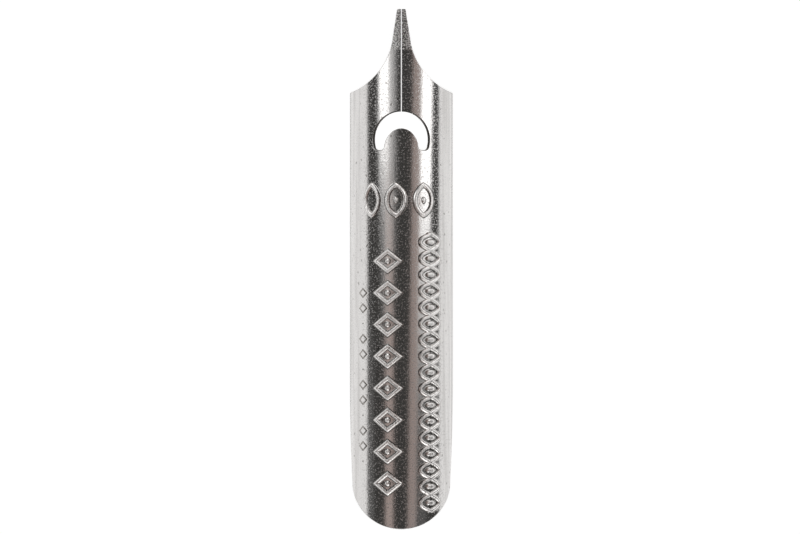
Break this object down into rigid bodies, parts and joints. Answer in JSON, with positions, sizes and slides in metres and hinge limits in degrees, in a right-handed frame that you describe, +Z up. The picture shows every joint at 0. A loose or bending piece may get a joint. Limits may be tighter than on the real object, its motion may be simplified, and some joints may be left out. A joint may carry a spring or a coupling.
{
  "type": "dip pen nib",
  "caption": "Rolled sheet steel nib for a dip pen, with a crescent vent, a slit point of two springy tines, shoulders and a rounded heel.",
  "frame": {"origin": "centre of the bounding box's base: midway along the nib, between its two rims and level with them", "axes": "+Y to the point, +Z up through the crown, +X to the right-hand rim seen from above with the point away"},
  "size_m": [0.0074, 0.037, 0.0037],
  "materials": {
    "steel": "bright plated steel, polished with a fine lengthwise grain, ground satin on the point"
  },
  "bodies": {
    "nib_body": {"nib_body": "steel"},
    "left_tine": {"left_tine": "steel"},
    "right_tine": {"right_tine": "steel"}
  },
  "joints": [
    {"name": "left_tine_flex", "type": "hinge", "parent": "nib_body", "child": "left_tine", "pos_m": [-0.00145, 0.01302, 0.00311], "axis": [0.9064, 0, 0.4224], "range_deg": [0, 6], "stiffness_Nm_per_rad": 0.036},
    {"name": "right_tine_flex", "type": "hinge", "parent": "nib_body", "child": "right_tine", "pos_m": [0.00145, 0.01302, 0.00311], "axis": [0.9064, 0, -0.4224], "range_deg": [0, 6], "stiffness_Nm_per_rad": 0.036}
  ]
}
